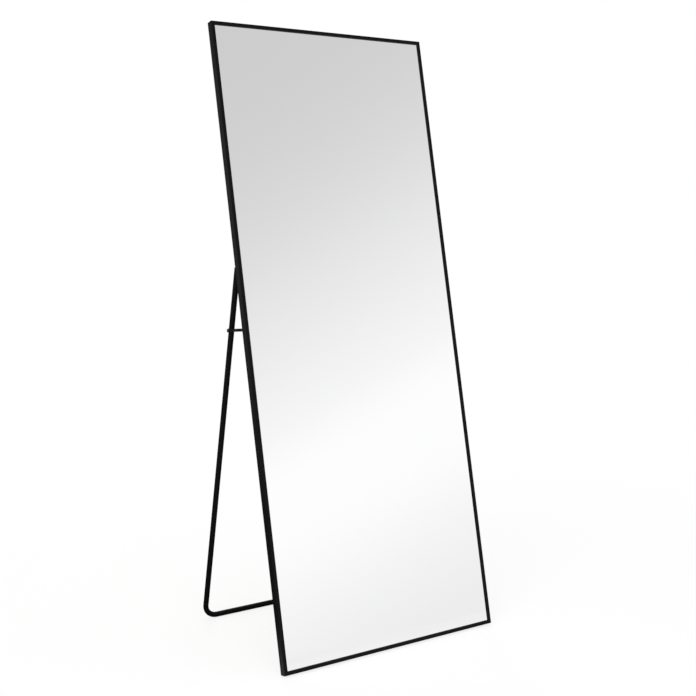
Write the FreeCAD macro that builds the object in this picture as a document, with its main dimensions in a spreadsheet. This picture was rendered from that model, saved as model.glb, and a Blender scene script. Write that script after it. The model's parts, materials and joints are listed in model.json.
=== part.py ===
import math
import os

import FreeCAD
import Part
import Sketcher

# A full-length mirror in a slim metal frame, which leans back on a folding U-shaped stand of round
# tube. On each side a flat stay hooks over a stud on the leg, so that the stand can't slide open.
#
# Units are millimetres and degrees. The row frame has +Z up, the mirror faces -Y, and the origin is on
# the floor, in the middle of the footprint. Most pieces are drawn in the mirror's own frame: x across,
# y from the front of the frame to its back, z up along the frame. One placement then leans them all.

# ---------------------------------------------------------------------------------------------------
# Driving sizes
# ---------------------------------------------------------------------------------------------------

DRIVING = {
    # the frame, of four mitred rails
    "frame_height": 1780.0,
    "frame_width": 711.0,
    "frame_depth": 22.0,
    "lean_angle": 12.2,
    "face_width": 10.0,
    "lip_thickness": 2.4,
    "rail_wall": 1.5,
    "flange_width": 18.0,
    "return_height": 2.0,
    "edge_radius": 0.6,
    # what the frame holds
    "glass_thickness": 4.0,
    "bevel_shown": 2.6,
    "bevel_drop": 0.8,
    "film_thickness": 0.3,
    "board_thickness": 2.5,
    "gasket_thickness": 0.8,
    "gasket_width": 8.0,
    "panel_play": 1.0,
    # corner keys, screws and the holes for hanging
    "key_arm": 50.0,
    "key_play": 0.15,
    "key_screw_place": 36.0,
    "flat_screw_length": 8.5,
    "screw_radius": 2.0,
    "screw_head_radius": 3.4,
    "screw_head_height": 2.2,
    "screw_head_chamfer": 0.8,
    "pan_screw_length": 9.0,
    "screw_play": 0.05,
    "recess_width": 1.0,
    "recess_depth": 0.9,
    "recess_arm": 2.0,
    "keyhole_drop": 180.0,
    "keyhole_radius": 5.0,
    "keyhole_slot_radius": 2.5,
    "keyhole_rise": 11.0,
    # the rubber feet under the bottom rail
    "foot_length": 60.0,
    "foot_side_inset": 50.0,
    "foot_front_inset": 14.0,
    "foot_back_inset": 1.0,
    "foot_rise": 1.5,
    # the stand
    "tube_radius": 8.0,
    "tube_wall": 1.2,
    "leg_side_inset": 15.5,
    "stand_reach": 243.1,
    "bend_radius": 40.0,
    "pivot_height": 1111.0,
    "pivot_offset": 11.0,
    # the eyes in the tops of the legs, and the hinges
    "eye_thickness": 5.0,
    "eye_reach": 12.0,
    "plug_length": 25.0,
    "plug_play": 0.05,
    "eye_pin_radius": 1.5,
    "eye_pin_place": 24.0,
    "pivot_radius": 2.5,
    "pivot_play": 0.05,
    "pivot_head_radius": 4.0,
    "pivot_head_height": 2.2,
    "pivot_nut_width": 8.0,
    "pivot_nut_height": 4.0,
    "washer_radius": 6.0,
    "washer_thickness": 1.0,
    "bracket_sheet": 2.0,
    "bracket_height": 40.0,
    "bracket_screw_spacing": 28.0,
    "bracket_screw_side": 9.8,
    "bracket_edge": 3.7,
    # the stays
    "stay_pivot_drop": 183.0,
    "stay_pivot_offset": 7.0,
    "stud_reach": 191.5,
    "stay_height": 8.4,
    "stay_thickness": 1.8,
    "stay_gap": 1.0,
    "stay_sheet": 1.5,
    "stay_side_play": 0.1,
    "stud_head_play": 0.2,
    "stud_collar_play": 0.3,
    "stay_bracket_height": 34.0,
    "stay_bracket_screw_spacing": 22.0,
    "stay_bracket_screw_side": 4.5,
    "hook_radius": 5.6,
    "hook_play": 0.3,
    "hook_ramp_angle": 15.0,
    "stud_radius": 2.0,
    "stud_head_radius": 4.5,
    "stud_head_height": 2.0,
    "stud_head_chamfer": 1.0,
    "stud_collar_radius": 4.0,
    "stud_nut_width": 7.0,
    "stud_nut_height": 3.2,
    "rivet_head_radius": 3.8,
    "rivet_head_height": 1.0,
    "rivet_tail_height": 0.6,
    # rubber sleeves on the floor bar, and bumpers for the folded legs
    "sleeve_thickness": 1.6,
    "sleeve_flat": 0.4,
    "sleeve_length": 40.0,
    "sleeve_spacing": 160.0,
    "bumper_radius": 4.0,
    "bumper_play": 0.3,
    "bumper_height_on_rail": 120.0,
    "bumper_side": 2.0,
    # how far a bolt stands out of its nut, and a cut's outline out of the metal
    "thread_shown": 1.0,
    "cut_margin": 1.0,
}


class Size:
    """A length or a number, with the sheet formula that it comes from."""

    def __init__(self, value, formula):
        self.value = float(value)
        self.formula = formula

    def joined(self, sign, other, value, turned=False):
        """The size that a sum or product of this one and other gives."""
        mine = self.formula
        theirs = formula_of(other)
        first, second = (theirs, mine) if turned else (mine, theirs)
        return Size(value, f"({first} {sign} {second})")

    def __add__(self, other):
        return self.joined("+", other, self.value + value_of(other))

    def __radd__(self, other):
        return self.joined("+", other, value_of(other) + self.value, turned=True)

    def __sub__(self, other):
        return self.joined("-", other, self.value - value_of(other))

    def __rsub__(self, other):
        return self.joined("-", other, value_of(other) - self.value, turned=True)

    def __mul__(self, other):
        return self.joined("*", other, self.value * value_of(other))

    def __rmul__(self, other):
        return self.joined("*", other, value_of(other) * self.value, turned=True)

    def __truediv__(self, other):
        return self.joined("/", other, self.value / value_of(other))

    def __neg__(self):
        return Size(-self.value, f"(0 - {self.formula})")


def value_of(size):
    return size.value if isinstance(size, Size) else float(size)


def formula_of(size):
    return size.formula if isinstance(size, Size) else f"{float(size):.6f}"


class Sheet:
    """The spreadsheet of sizes. Each size is an attribute under its alias."""

    def __init__(self, document, name):
        self.cells = document.addObject("Spreadsheet::Sheet", name)
        self.row = 0

    def store(self, alias, value):
        self.row += 1
        self.cells.set(f"A{self.row}", alias)
        self.cells.set(f"B{self.row}", repr(float(value)))
        self.cells.setAlias(f"B{self.row}", alias)
        setattr(self, alias, Size(value, f"{self.cells.Name}.{alias}"))


document = FreeCAD.newDocument("leaning_floor_mirror")
size = Sheet(document, "Sizes")
for size_name, size_value in DRIVING.items():
    size.store(size_name, size_value)

# ---------------------------------------------------------------------------------------------------
# Sizes that are worked out
# ---------------------------------------------------------------------------------------------------

LEAN = math.radians(DRIVING["lean_angle"])
size.store("lean_sine", math.sin(LEAN))
size.store("lean_cosine", math.cos(LEAN))
size.store("hex_corner", 1 / math.sqrt(3))

# the middle web of a rail stands behind glass, film, board and gasket
panel_depth = size.glass_thickness + size.film_thickness + size.board_thickness + size.gasket_thickness
web_front = size.lip_thickness + panel_depth
web_back = web_front + size.rail_wall
channel_back = size.frame_depth - size.rail_wall
panel_inset = size.rail_wall + size.panel_play
glass_back = size.lip_thickness + size.glass_thickness
film_back = glass_back + size.film_thickness
board_back = film_back + size.board_thickness

half_width = size.frame_width / 2
leg_side = half_width - size.leg_side_inset
bore_radius = size.tube_radius - size.tube_wall

# a flat head is a cone of half a right angle, so it is as deep as it widens
screw_hole = size.screw_radius + size.screw_play
sink_depth = size.screw_head_radius - size.screw_radius
pivot_hole = size.pivot_radius + size.pivot_play
stay_pin_hole = size.stud_radius + size.pivot_play

# heights and depths in the mirror's own frame
pivot_depth = size.frame_depth + size.pivot_offset
stay_pivot_height = size.pivot_height - size.stay_pivot_drop
stay_pivot_depth = size.frame_depth + size.stay_pivot_offset

# where the hinge and its parts lie across the leg, counted from the leg's own axis
eye_side = size.eye_thickness / 2
washer_side = eye_side + size.pivot_play
ear_side = washer_side + size.washer_thickness + size.pivot_play
ear_outside = ear_side + size.bracket_sheet

# and the same for the stay, on the outer side of the leg
stay_side = size.tube_radius + size.stay_gap
stay_outside = stay_side + size.stay_thickness
stay_ear_side = stay_outside + size.stay_side_play
stay_ear_outside = stay_ear_side + size.stay_sheet
stud_head_side = stay_outside + size.stud_head_play
stud_head_outside = stud_head_side + size.stud_head_height
stud_collar_outside = stay_side - size.stud_collar_play

# the stand opens until its sleeves are on the floor
tube_height = size.tube_radius + size.sleeve_thickness - size.sleeve_flat
pivot_z = (
    size.pivot_height * size.lean_cosine - size.pivot_offset * size.lean_sine + size.foot_rise
)
pivot_y = size.pivot_height * size.lean_sine + pivot_depth * size.lean_cosine
leg_drop = pivot_z.value - tube_height.value
size.store("leg_length", math.hypot(leg_drop, size.stand_reach.value))
leg_angle = math.atan2(size.stand_reach.value, leg_drop)
open_angle = leg_angle + LEAN
bar_y = pivot_y.value + size.stand_reach.value
footprint_middle = (bar_y + size.tube_radius.value + size.sleeve_thickness.value) / 2

# the stud's place at rest, and from it the stay's length and slope
stud_depth = pivot_depth.value + size.stud_reach.value * math.sin(open_angle)
stud_height = size.pivot_height.value - size.stud_reach.value * math.cos(open_angle)
stay_run = stud_depth - stay_pivot_depth.value
stay_rise = stud_height - stay_pivot_height.value
stay_slope = math.atan2(stay_rise, stay_run)
size.store("stay_length", math.hypot(stay_run, stay_rise))
size.store("hook_ramp_tangent", math.tan(math.radians(DRIVING["hook_ramp_angle"])))
stow_angle = math.pi / 2 - stay_slope

# ---------------------------------------------------------------------------------------------------
# How a piece is made
# ---------------------------------------------------------------------------------------------------

PLANES = {
    # plane: its role in the body, the sign of its normal, and whether a pad or a pocket is reversed
    "XY": ("XY_Plane", 1, False, True),
    "XZ": ("XZ_Plane", -1, True, False),
    "YZ": ("YZ_Plane", 1, False, True),
}
FULL_ANGLE = 360.0
CONE_ANGLE = 45.0
NEAR = 1e-4


def rectangle(low_x, high_x, low_y, high_y):
    return [(low_x, low_y), (high_x, low_y), (high_x, high_y), (low_x, high_y)]


def hexagon(width):
    """A regular hexagon, by its width across flats, with two flats square to the second axis."""
    far = width * size.hex_corner
    near = far / 2
    high = width / 2
    return [(far, 0), (near, high), (-near, high), (-far, 0), (-near, -high), (near, -high)]


def circle(x, y, radius):
    return {"x": x, "y": y, "radius": radius}


class Piece:
    """One body, built up of outlines that are padded, pocketed or turned along a main plane."""

    def __init__(self, label):
        self.body = document.addObject("PartDesign::Body", label)
        self.body.Label = label

    def sketch(self, plane, start):
        role, normal, _, _ = PLANES[plane]
        made = self.body.newObject("Sketcher::SketchObject", self.body.Name + "_outline")
        support = [o for o in self.body.Origin.OriginFeatures if o.Role == role][0]
        made.AttachmentSupport = [(support, "")]
        made.MapMode = "FlatFace"
        made.AttachmentOffset = FreeCAD.Placement(
            FreeCAD.Vector(0, 0, normal * value_of(start)), FreeCAD.Rotation()
        )
        if isinstance(start, Size):
            made.setExpression("AttachmentOffset.Base.z", formula_of(normal * start))
        return made

    def draw(self, sketch, shapes):
        for shape in shapes:
            if isinstance(shape, dict):
                self.draw_circle(sketch, shape)
            else:
                self.draw_outline(sketch, shape)

    def tie(self, sketch, geometry, point, x, y):
        """Holds a point of the sketch to its place. Each of x and y is a size, or 0 for an axis."""
        # a sketch's own axes are its geometries -1, along x, and -2, along y
        for kind, axis, place in (("DistanceX", -2, x), ("DistanceY", -1, y)):
            if isinstance(place, Size):
                held = Sketcher.Constraint(kind, geometry, point, place.value)
                index = sketch.addConstraint(held)
                sketch.setExpression(f"Constraints[{index}]", place.formula)
            else:
                sketch.addConstraint(Sketcher.Constraint("PointOnObject", geometry, point, axis))

    def draw_outline(self, sketch, corners):
        points = [FreeCAD.Vector(value_of(x), value_of(y), 0) for x, y in corners]
        count = len(points)
        first = sketch.GeometryCount
        for i in range(count):
            sketch.addGeometry(Part.LineSegment(points[i], points[(i + 1) % count]))
        for i in range(count):
            following = first + (i + 1) % count
            sketch.addConstraint(Sketcher.Constraint("Coincident", first + i, 2, following, 1))
        for i, (x, y) in enumerate(corners):
            self.tie(sketch, first + i, 1, x, y)

    def draw_circle(self, sketch, shape):
        centre = FreeCAD.Vector(value_of(shape["x"]), value_of(shape["y"]), 0)
        radius = shape["radius"]
        index = sketch.addGeometry(
            Part.Circle(centre, FreeCAD.Vector(0, 0, 1), value_of(radius))
        )
        self.tie(sketch, index, 3, shape["x"], shape["y"])
        held = sketch.addConstraint(Sketcher.Constraint("Radius", index, value_of(radius)))
        sketch.setExpression(f"Constraints[{held}]", formula_of(radius))

    def add(self, plane, start, length, *shapes):
        """Pads the shapes from start, along the plane's own axis, by length."""
        sketch = self.sketch(plane, start)
        self.draw(sketch, shapes)
        pad = self.body.newObject("PartDesign::Pad", self.body.Name + "_pad")
        pad.Profile = sketch
        pad.Reversed = PLANES[plane][2]
        pad.Length = value_of(length)
        pad.setExpression("Length", formula_of(length))
        document.recompute()
        return self

    def cut(self, plane, start, length, *shapes):
        """Pockets the shapes from start, along the plane's own axis, by length."""
        before = self.body.Shape.Volume
        sketch = self.sketch(plane, start)
        self.draw(sketch, shapes)
        pocket = self.body.newObject("PartDesign::Pocket", self.body.Name + "_pocket")
        pocket.Profile = sketch
        pocket.Reversed = PLANES[plane][3]
        pocket.Length = value_of(length)
        pocket.setExpression("Length", formula_of(length))
        document.recompute()
        if not self.body.Shape.Volume < before:
            raise RuntimeError(f"{self.body.Label}: a pocket cuts nothing")
        return self

    def countersink(self, back, wall, x, z):
        """A screw hole along y through a wall, whose mouth at the back is a cone for a flat head."""
        play = size.screw_play
        self.cut("XZ", back - wall, wall, circle(x, z, size.screw_radius + play))
        before = self.body.Shape.Volume
        mouth = self.sketch("XZ", back)
        self.draw(mouth, [circle(x, z, size.screw_head_radius + play)])
        cone = self.body.newObject("PartDesign::Pocket", self.body.Name + "_countersink")
        cone.Profile = mouth
        cone.Reversed = True
        cone.TaperAngle = -CONE_ANGLE
        cone.Length = sink_depth.value
        cone.setExpression("Length", sink_depth.formula)
        document.recompute()
        if not self.body.Shape.Volume < before:
            raise RuntimeError(f"{self.body.Label}: a countersink cuts nothing")
        return self

    def turn(self, corners, about="H_Axis"):
        """Turns an outline of the XY plane about its first (H_Axis) or second (V_Axis) axis."""
        sketch = self.sketch("XY", 0)
        self.draw(sketch, [corners])
        revolution = self.body.newObject("PartDesign::Revolution", self.body.Name + "_turn")
        revolution.Profile = sketch
        revolution.ReferenceAxis = (sketch, [about])
        revolution.Angle = FULL_ANGLE
        document.recompute()
        return self

    def edges(self, chosen):
        """The names of the edges of the tip for which chosen(edge) is true."""
        shape = self.body.Tip.Shape
        return [f"Edge{i + 1}" for i, edge in enumerate(shape.Edges) if chosen(edge)]

    def round_edges(self, radius, chosen):
        names = self.edges(chosen)
        base = self.body.Tip
        fillet = self.body.newObject("PartDesign::Fillet", self.body.Name + "_fillet")
        fillet.Base = (base, names)
        fillet.Radius = value_of(radius)
        fillet.setExpression("Radius", formula_of(radius))
        document.recompute()
        return self


sub_parts = []


def place(made, placement):
    """Puts a finished piece where it belongs and lists it as a sub-part."""
    body = made.body if isinstance(made, Piece) else made
    body.Placement = placement
    sub_parts.append(body)
    return body


def group(label, pieces):
    """One sub-part of several like solids."""
    compound = document.addObject("Part::Compound", label)
    compound.Label = label
    compound.Links = [piece.body for piece in pieces]
    document.recompute()
    return compound


def at(x, y, z, axis=(0, 0, 1), angle=0.0):
    return FreeCAD.Placement(
        FreeCAD.Vector(value_of(x), value_of(y), value_of(z)),
        FreeCAD.Rotation(FreeCAD.Vector(*axis), angle),
    )


# from the mirror's own frame to the row frame
LEANING = at(
    0,
    -footprint_middle,
    size.frame_depth * size.lean_sine + size.foot_rise,
    axis=(1, 0, 0),
    angle=-size.lean_angle.value,
)
SIDES = {"left": -1, "right": 1}
ABOUT_DEPTH = (0, 1, 0)

# ---------------------------------------------------------------------------------------------------
# The frame
# ---------------------------------------------------------------------------------------------------


key_middle = size.flange_width / 2


def along_rail(edge, x, y):
    """Whether an edge runs along the rail, at that place of its section."""
    return edge.Length > NEAR and all(
        abs(vertex.X - x) < NEAR and abs(vertex.Y - y) < NEAR for vertex in edge.Vertexes
    )


def rail(label, length, screws=(), keyhole=None):
    """A mitred rail: x runs inwards from its outer face, y to the back, and z along it.
    screws are the (x, z) of plain holes in the back flange, and keyhole is (z, way up)."""
    piece = Piece(label)
    wall = size.rail_wall
    inner = size.flange_width - wall
    section = [
        (0, 0),
        (size.face_width, 0),
        (size.face_width, size.lip_thickness),
        (wall, size.lip_thickness),
        (wall, web_front),
        (size.flange_width, web_front),
        (size.flange_width, web_back + size.return_height),
        (inner, web_back + size.return_height),
        (inner, web_back),
        (wall, web_back),
        (wall, channel_back),
        (inner, channel_back),
        (inner, channel_back - size.return_height),
        (size.flange_width, channel_back - size.return_height),
        (size.flange_width, size.frame_depth),
        (0, size.frame_depth),
    ]
    piece.add("XY", 0, length, section)
    outer_edges = ((0.0, 0.0), (0.0, size.frame_depth.value))
    piece.round_edges(
        size.edge_radius,
        lambda edge: any(along_rail(edge, x, y) for x, y in outer_edges),
    )
    margin = size.cut_margin
    reach = size.flange_width + margin
    for end, inwards in ((0, 1), (length, -1)):
        mitre = [
            (-margin, end - inwards * margin),
            (reach, end + inwards * reach),
            (reach, end - inwards * margin),
        ]
        piece.cut("XZ", -margin, size.frame_depth + 2 * margin, mitre)
    for z in (size.key_screw_place, length - size.key_screw_place):
        piece.countersink(size.frame_depth, wall, key_middle, z)
    for x, z in screws:
        piece.cut("XZ", channel_back, wall, circle(x, z, screw_hole))
    if keyhole is not None:
        low, up = keyhole
        top = low + up * size.keyhole_rise
        slot = size.keyhole_slot_radius
        piece.cut("XZ", channel_back, wall, circle(key_middle, low, size.keyhole_radius))
        piece.cut("XZ", channel_back, wall, rectangle(key_middle - slot, key_middle + slot, low, top))
        piece.cut("XZ", channel_back, wall, circle(key_middle, top, slot))
    return piece


def side_rail(side):
    """The left rail runs up from its start, and the right one down."""
    height = size.frame_height
    up = -SIDES[side]

    def from_start(level):
        return level if up == 1 else height - level

    rail_x = half_width - leg_side
    bracket_x = rail_x - size.bracket_screw_side
    stay_x = rail_x - size.stay_bracket_screw_side
    screws = []
    for way in (-1, 1):
        hinge_level = size.pivot_height + way * size.bracket_screw_spacing / 2
        stay_level = stay_pivot_height + way * size.stay_bracket_screw_spacing / 2
        screws.append((bracket_x, from_start(hinge_level)))
        screws.append((stay_x, from_start(stay_level)))
    keyhole_level = from_start(height - size.keyhole_drop)
    return rail(f"{side}_rail", height, screws, (keyhole_level, up))


top_rail = rail("top_rail", size.frame_width)
bottom_rail = rail("bottom_rail", size.frame_width)
place(side_rail("left"), LEANING * at(-half_width, 0, 0))
place(side_rail("right"), LEANING * at(half_width, 0, size.frame_height, ABOUT_DEPTH, 180))
place(top_rail, LEANING * at(-half_width, 0, size.frame_height, ABOUT_DEPTH, 90))
place(bottom_rail, LEANING * at(half_width, 0, 0, ABOUT_DEPTH, -90))

# each corner of the frame: its place, and the turn that takes the bottom left one there
CORNERS = {
    "bottom_left": (-half_width, 0, 0),
    "top_left": (-half_width, size.frame_height, 90),
    "top_right": (half_width, size.frame_height, 180),
    "bottom_right": (half_width, 0, -90),
}


def corner_key(label):
    """An L that lies in the channels of two rails, with a screw hole in each arm."""
    low = size.rail_wall + size.key_play
    inner = size.flange_width - size.rail_wall - size.key_play
    end = size.key_arm
    front = web_back + size.key_play
    depth = channel_back - size.key_play - front
    shape = [(low, low), (end, low), (end, inner), (inner, inner), (inner, end), (low, end)]
    piece = Piece(label).add("XZ", front, depth, shape)
    for x, z in ((size.key_screw_place, key_middle), (key_middle, size.key_screw_place)):
        piece.cut("XZ", front, depth, circle(x, z, screw_hole))
    return piece


def cross_recess(piece, depth):
    """A cross in the head of a screw that points back, with the top of its head at y = depth."""
    arm = size.recess_arm
    half = size.recess_width / 2
    start = depth - size.recess_depth
    piece.cut("XZ", start, size.recess_depth, rectangle(-arm, arm, -half, half))
    piece.cut("XZ", start, size.recess_depth, rectangle(-half, half, -arm, arm))
    return piece


def countersunk_screw(label):
    """A screw along y whose flat head ends at y = 0."""
    shank = size.screw_radius
    profile = [
        (0, -size.flat_screw_length),
        (shank, -size.flat_screw_length),
        (shank, -sink_depth),
        (size.screw_head_radius, 0),
        (0, 0),
    ]
    return cross_recess(Piece(label).turn(profile, "V_Axis"), 0)


def pan_screw(label):
    """A screw along y whose head sits on y = 0."""
    shank = size.screw_radius
    head = size.screw_head_radius
    top = size.screw_head_height
    chamfer = size.screw_head_chamfer
    profile = [
        (0, -size.pan_screw_length),
        (shank, -size.pan_screw_length),
        (shank, 0),
        (head, 0),
        (head, top - chamfer),
        (head - chamfer, top),
        (0, top),
    ]
    return cross_recess(Piece(label).turn(profile, "V_Axis"), top)


for corner_name, (corner_x, corner_z, corner_turn) in CORNERS.items():
    corner_place = LEANING * at(corner_x, 0, corner_z, ABOUT_DEPTH, corner_turn)
    place(corner_key(f"corner_key_{corner_name}"), corner_place)
    pair = []
    for number, (x, z) in enumerate(
        ((size.key_screw_place, key_middle), (key_middle, size.key_screw_place))
    ):
        screw = countersunk_screw(f"key_screw_{corner_name}_{number}")
        screw.body.Placement = at(x, size.frame_depth, z)
        pair.append(screw)
    place(group(f"corner_screws_{corner_name}", pair), corner_place)

# ---------------------------------------------------------------------------------------------------
# Glass, film, board, gaskets and feet
# ---------------------------------------------------------------------------------------------------

panel_side = half_width - panel_inset
panel_top = size.frame_height - panel_inset
panel = rectangle(-panel_side, panel_side, panel_inset, panel_top)

glass = Piece("mirror_glass").add("XZ", size.lip_thickness, size.glass_thickness, panel)
front_edges = glass.edges(
    lambda edge: all(abs(vertex.Y - size.lip_thickness.value) < NEAR for vertex in edge.Vertexes)
)
unbevelled = glass.body.Tip
bevel = glass.body.newObject("PartDesign::Chamfer", "mirror_bevel")
bevel_width = size.face_width + size.bevel_shown - panel_inset
bevel.Base = (unbevelled, front_edges)
bevel.ChamferType = "Two distances"
bevel.FlipDirection = True
bevel.Size = bevel_width.value
bevel.Size2 = size.bevel_drop.value
bevel.setExpression("Size", bevel_width.formula)
bevel.setExpression("Size2", size.bevel_drop.formula)
document.recompute()
place(glass, LEANING)

place(Piece("safety_film").add("XZ", glass_back, size.film_thickness, panel), LEANING)
place(Piece("backing_board").add("XZ", film_back, size.board_thickness, panel), LEANING)

gasket_inside = panel_inset + size.gasket_width
GASKETS = {
    "left": rectangle(-panel_side, size.gasket_width - panel_side, panel_inset, panel_top),
    "right": rectangle(panel_side - size.gasket_width, panel_side, panel_inset, panel_top),
    "top": rectangle(
        size.gasket_width - panel_side,
        panel_side - size.gasket_width,
        panel_top - size.gasket_width,
        panel_top,
    ),
    "bottom": rectangle(
        size.gasket_width - panel_side,
        panel_side - size.gasket_width,
        panel_inset,
        gasket_inside,
    ),
}
for gasket_name, strip in GASKETS.items():
    gasket = Piece(f"gasket_{gasket_name}").add("XZ", board_back, size.gasket_thickness, strip)
    place(gasket, LEANING)


def foot(label):
    """A wedge under the bottom rail, whose underside is level when the mirror leans."""

    def floor_at(depth):
        fall = (size.frame_depth - depth) * size.lean_sine
        return -((size.foot_rise + fall) / size.lean_cosine)

    front = size.foot_front_inset
    back = size.frame_depth - size.foot_back_inset
    wedge = [(front, floor_at(front)), (back, floor_at(back)), (back, 0), (front, 0)]
    return Piece(label).add("YZ", -size.foot_length / 2, size.foot_length, wedge)


for side, sign in SIDES.items():
    foot_x = half_width - size.foot_side_inset - size.foot_length / 2
    place(foot(f"frame_foot_{side}"), LEANING * at(sign * foot_x, 0, 0))

# ---------------------------------------------------------------------------------------------------
# The hinges of the stand. Their origin is on the hinge's axis, in the middle of the leg.
# ---------------------------------------------------------------------------------------------------


def span(sign, near, far):
    """The start and length across the leg of what lies from near to far on that side of it."""
    return (near if sign == 1 else -far), far - near


def hinge_bracket(label, sign):
    """A sheet bracket: a base on the back flange, and two ears that hold the eye of the leg."""
    half_height = size.bracket_height / 2
    inside = ear_outside + size.bracket_sheet
    outside = size.bracket_screw_side + size.bracket_edge
    base = rectangle(-sign * inside, sign * outside, -half_height, half_height)
    piece = Piece(label).add("XZ", -size.pivot_offset, size.bracket_sheet, base)
    ear = rectangle(-size.pivot_offset, 0, -size.tube_radius, size.tube_radius)
    ear_end = circle(0, 0, size.tube_radius)
    for way in (-1, 1):
        start, thickness = span(way, ear_side, ear_outside)
        piece.add("YZ", start, thickness, ear)
        piece.add("YZ", start, thickness, ear_end)
        piece.cut("YZ", start, thickness, circle(0, 0, pivot_hole))
    for way in (-1, 1):
        level = way * size.bracket_screw_spacing / 2
        hole = circle(sign * size.bracket_screw_side, level, screw_hole)
        piece.cut("XZ", -size.pivot_offset, size.bracket_sheet, hole)
    return piece


def hinge_bolt(label, sign):
    """A headed bolt along x, through both ears, with its nut on the side of the mirror's middle."""
    tail = ear_outside + size.pivot_nut_height + size.thread_shown
    head = ear_outside + size.pivot_head_height
    profile = [
        (-sign * tail, 0),
        (-sign * tail, size.pivot_radius),
        (sign * ear_outside, size.pivot_radius),
        (sign * ear_outside, size.pivot_head_radius),
        (sign * head, size.pivot_head_radius),
        (sign * head, 0),
    ]
    return Piece(label).turn(profile)


def nut(label, near, height, width, hole, sign):
    """A hexagon nut on a bolt along x. It lies from near to near + height on that side."""
    start, thickness = span(sign, near, near + height)
    piece = Piece(label).add("YZ", start, thickness, hexagon(width))
    return piece.cut("YZ", start, thickness, circle(0, 0, hole))


def hinge_washer(label, way):
    start, thickness = span(way, washer_side, washer_side + size.washer_thickness)
    piece = Piece(label).add("YZ", start, thickness, circle(0, 0, size.washer_radius))
    return piece.cut("YZ", start, thickness, circle(0, 0, pivot_hole))


for side, sign in SIDES.items():
    hinge_place = LEANING * at(sign * leg_side, pivot_depth, size.pivot_height)
    place(hinge_bracket(f"hinge_bracket_{side}", sign), hinge_place)
    place(hinge_bolt(f"hinge_bolt_{side}", sign), hinge_place)
    hinge_nut = nut(
        f"hinge_nut_{side}",
        ear_outside,
        size.pivot_nut_height,
        size.pivot_nut_width,
        pivot_hole,
        -sign,
    )
    place(hinge_nut, hinge_place)
    washers = [hinge_washer(f"hinge_washer_{side}_{way}", way) for way in (-1, 1)]
    place(group(f"hinge_washers_{side}", washers), hinge_place)
    pair = []
    for way in (-1, 1):
        screw = pan_screw(f"hinge_screw_{side}_{way}")
        screw.body.Placement = at(
            sign * size.bracket_screw_side,
            size.bracket_sheet - size.pivot_offset,
            way * size.bracket_screw_spacing / 2,
        )
        pair.append(screw)
    place(group(f"hinge_bracket_screws_{side}", pair), hinge_place)

# ---------------------------------------------------------------------------------------------------
# The brackets of the stays. Their origin is on the stay's axis, level with the leg's middle.
# ---------------------------------------------------------------------------------------------------


def stay_bracket(label, sign):
    """An angle bracket: a base on the back flange, and one ear outside the stay."""
    half_height = size.stay_bracket_height / 2
    half_ear = size.stay_height / 2
    inside = size.stay_bracket_screw_side - size.screw_head_radius - size.stay_sheet
    base = rectangle(sign * inside, sign * stay_ear_outside, -half_height, half_height)
    piece = Piece(label).add("XZ", -size.stay_pivot_offset, size.stay_sheet, base)
    start, thickness = span(sign, stay_ear_side, stay_ear_outside)
    piece.add("YZ", start, thickness, rectangle(-size.stay_pivot_offset, 0, -half_ear, half_ear))
    piece.add("YZ", start, thickness, circle(0, 0, half_ear))
    piece.cut("YZ", start, thickness, circle(0, 0, stay_pin_hole))
    base_back = size.stay_sheet - size.stay_pivot_offset
    for way in (-1, 1):
        level = way * size.stay_bracket_screw_spacing / 2
        piece.countersink(base_back, size.stay_sheet, sign * size.stay_bracket_screw_side, level)
    return piece


def stay_rivet(label, sign):
    """A rivet along x, with a head outside the ear and a low tail beside the leg."""
    head = stay_ear_outside + size.rivet_head_height
    tail = stay_side - size.rivet_tail_height
    neck = stay_side - size.stay_side_play
    profile = [
        (sign * tail, 0),
        (sign * tail, size.rivet_head_radius),
        (sign * neck, size.rivet_head_radius),
        (sign * neck, size.stud_radius),
        (sign * stay_ear_outside, size.stud_radius),
        (sign * stay_ear_outside, size.rivet_head_radius),
        (sign * head, size.rivet_head_radius),
        (sign * head, 0),
    ]
    return Piece(label).turn(profile)


def stay_bar(label, sign):
    """A flat bar along y from its rivet to its stud, whose end drops over the stud as a hook."""
    start, thickness = span(sign, stay_side, stay_outside)
    half = size.stay_height / 2
    reach = size.stay_length
    neck = size.stud_radius + size.hook_play
    foot_of_ramp = reach - (neck + 2 * half) / size.hook_ramp_tangent
    ramp_drop = (reach - foot_of_ramp) * size.hook_ramp_tangent - neck
    heel = reach + neck
    under = -size.hook_radius - size.cut_margin
    notch = [
        (heel, under),
        (heel, neck),
        (reach, neck),
        (foot_of_ramp, -ramp_drop),
        (foot_of_ramp, under),
    ]
    piece = Piece(label).add("YZ", start, thickness, rectangle(0, reach, -half, half))
    piece.add("YZ", start, thickness, circle(0, 0, half))
    piece.add("YZ", start, thickness, circle(reach, 0, size.hook_radius))
    tip = rectangle(reach, reach + size.hook_radius, -size.hook_radius, 0)
    piece.add("YZ", start, thickness, tip)
    piece.cut("YZ", start, thickness, notch)
    return piece.cut("YZ", start, thickness, circle(0, 0, stay_pin_hole))


for side, sign in SIDES.items():
    stay_place = LEANING * at(sign * leg_side, stay_pivot_depth, stay_pivot_height)
    place(stay_bracket(f"stay_bracket_{side}", sign), stay_place)
    place(stay_rivet(f"stay_rivet_{side}", sign), stay_place)
    pair = []
    for way in (-1, 1):
        screw = countersunk_screw(f"stay_screw_{side}_{way}")
        screw.body.Placement = at(
            sign * size.stay_bracket_screw_side,
            size.stay_sheet - size.stay_pivot_offset,
            way * size.stay_bracket_screw_spacing / 2,
        )
        pair.append(screw)
    place(group(f"stay_bracket_screws_{side}", pair), stay_place)
    hooked = at(0, 0, 0, (1, 0, 0), math.degrees(stay_slope))
    place(stay_bar(f"stay_bar_{side}", sign), stay_place * hooked)

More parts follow.
